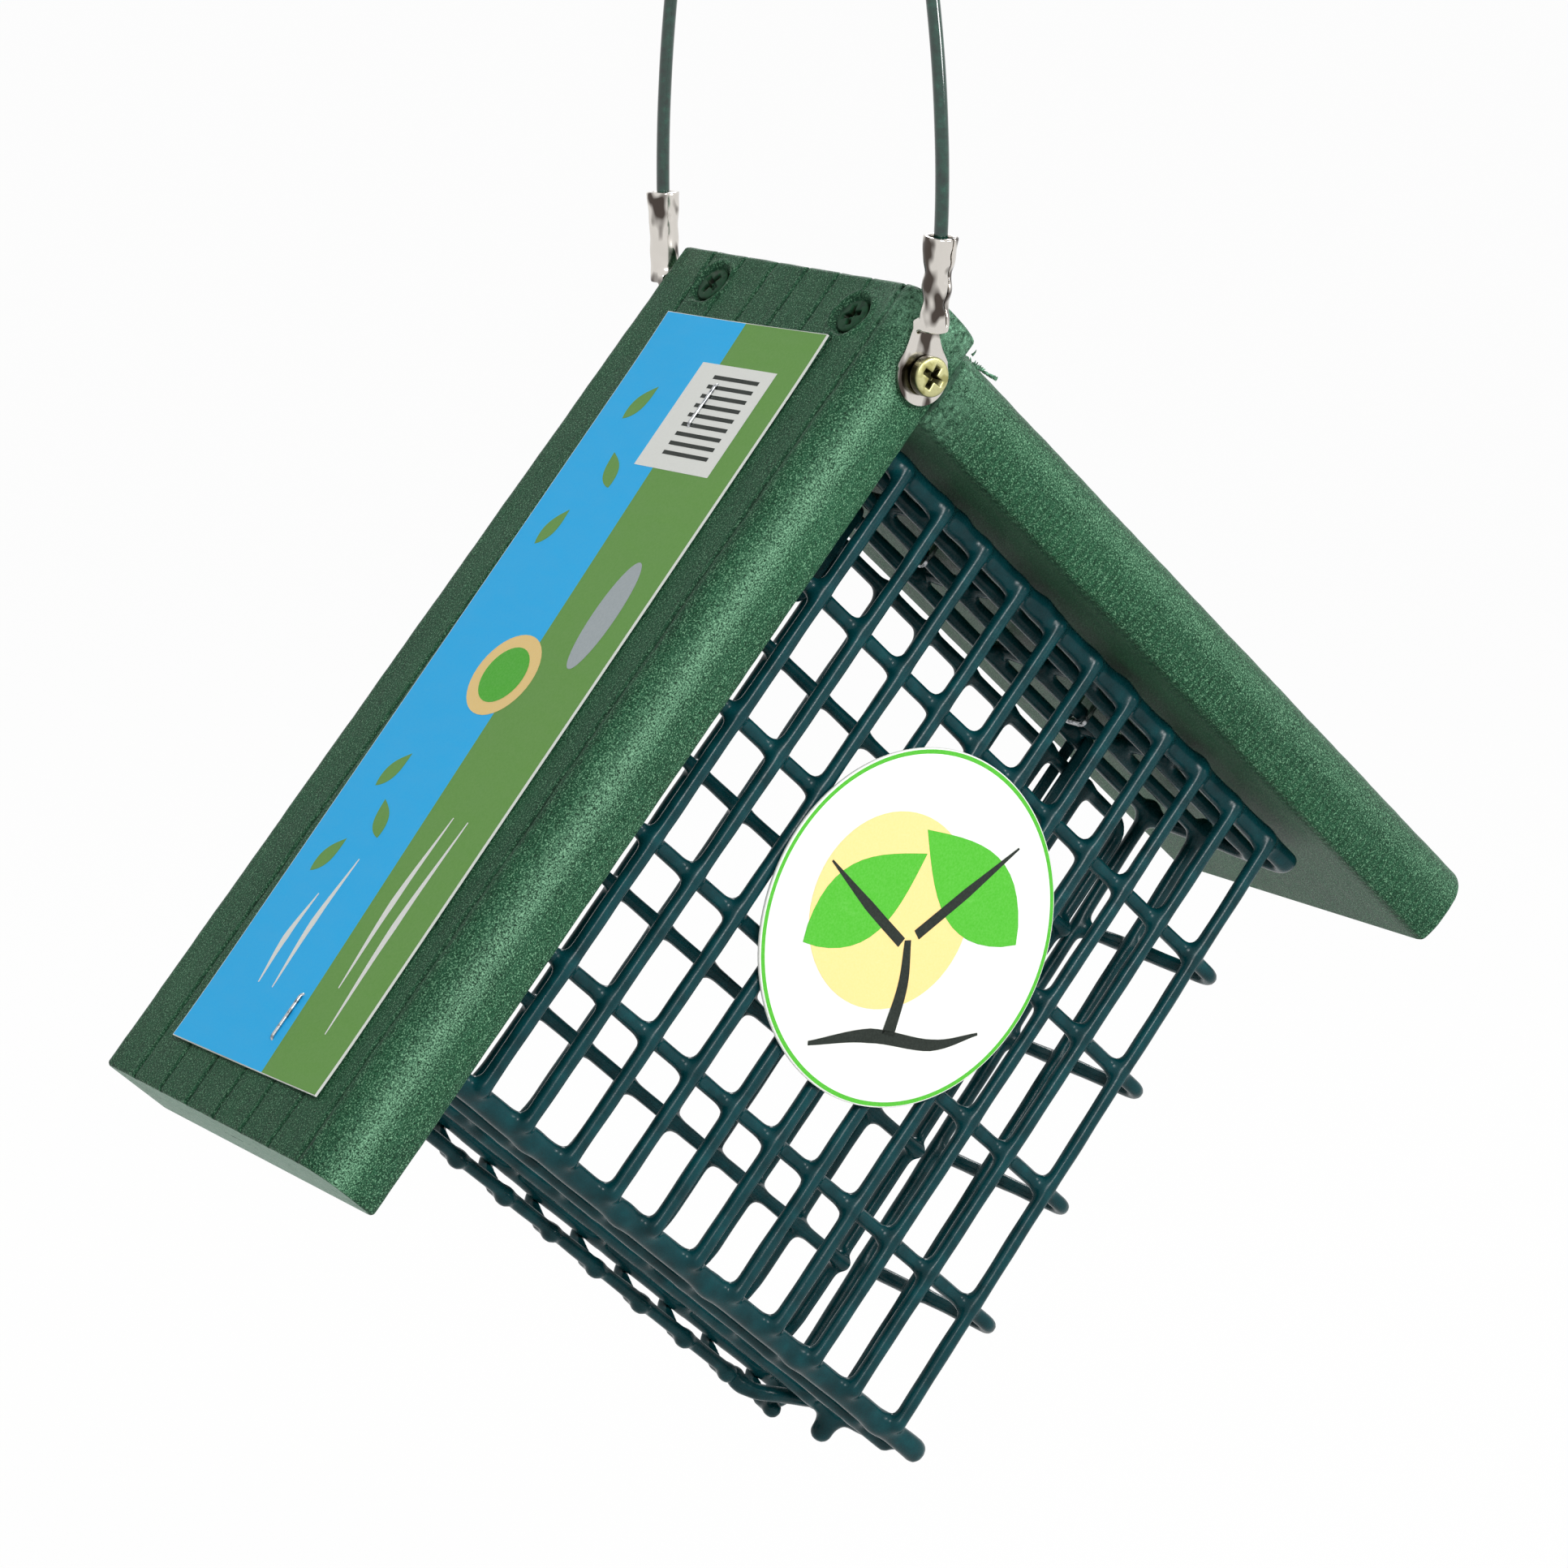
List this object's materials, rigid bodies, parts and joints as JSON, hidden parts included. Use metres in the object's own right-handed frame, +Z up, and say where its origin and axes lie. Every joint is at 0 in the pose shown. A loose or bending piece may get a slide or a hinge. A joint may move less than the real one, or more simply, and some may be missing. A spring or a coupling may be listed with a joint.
{
  "type": "suet feeder",
  "caption": "Hanging suet feeder: a coated wire cage with a hinged rear door under a peaked roof of two plastic boards, on a cable loop.",
  "frame": {"origin": "where a hook bears: the underside of the cable at the top of its loop", "axes": "+Z up, +X to the right seen from the front, -Y towards the viewer (front grille), +Y to the rear door"},
  "size_m": [0.249, 0.0876, 0.3222],
  "materials": {
    "board": "rough-sawn recycled plastic lumber, fine speckle",
    "cage": "glossy dipped vinyl over steel wire",
    "ridge_screw": "dark green painted screw",
    "zinc_screw": "yellow zinc plated",
    "terminal": "tinned copper, crimped",
    "cable": "glossy vinyl-coated cable",
    "staple": "bright steel wire",
    "label": "coated card, plain printed colours",
    "tag": "coated card, white with a green edge"
  },
  "bodies": {
    "hanger": {"hanger_cable": "cable", "ring_terminal_front": "terminal", "ring_terminal_rear": "terminal"},
    "house": {"roof_board_left": "board", "roof_board_right": "board", "ridge_screw_front": "ridge_screw", "ridge_screw_rear": "ridge_screw", "hanger_screw_front": "zinc_screw", "hanger_screw_rear": "zinc_screw", "cage_front_grille": "cage", "cage_left_wall": "cage", "cage_right_wall": "cage", "cage_top_wall": "cage", "cage_bottom_wall": "cage", "cage_staple_left_1": "staple", "cage_staple_left_2": "staple", "cage_staple_right_1": "staple", "cage_staple_right_2": "staple", "label_card": "label", "label_staple_upper": "staple", "label_staple_lower": "staple", "round_tag": "tag"},
    "door": {"door_grille": "cage", "door_hinge_clip_1": "cage", "door_hinge_clip_2": "cage"},
    "latch": {"door_latch_finger": "cage"}
  },
  "joints": [
    {"name": "house_swing", "type": "hinge", "parent": "hanger", "child": "house", "pos_m": [0, 0, -0.1188], "axis": [0, 1, 0], "range_deg": [-115, 115]},
    {"name": "door_swing", "type": "hinge", "parent": "house", "child": "door", "pos_m": [0.04793, 0.0138, -0.17581], "axis": [0.7373, 0, -0.6756], "range_deg": [0, 95]},
    {"name": "latch_flex", "type": "hinge", "parent": "door", "child": "latch", "pos_m": [-0.01079, 0.0061, -0.30687], "axis": [0, 1, 0], "range_deg": [0, 18], "stiffness_Nm_per_rad": 0.006}
  ]
}
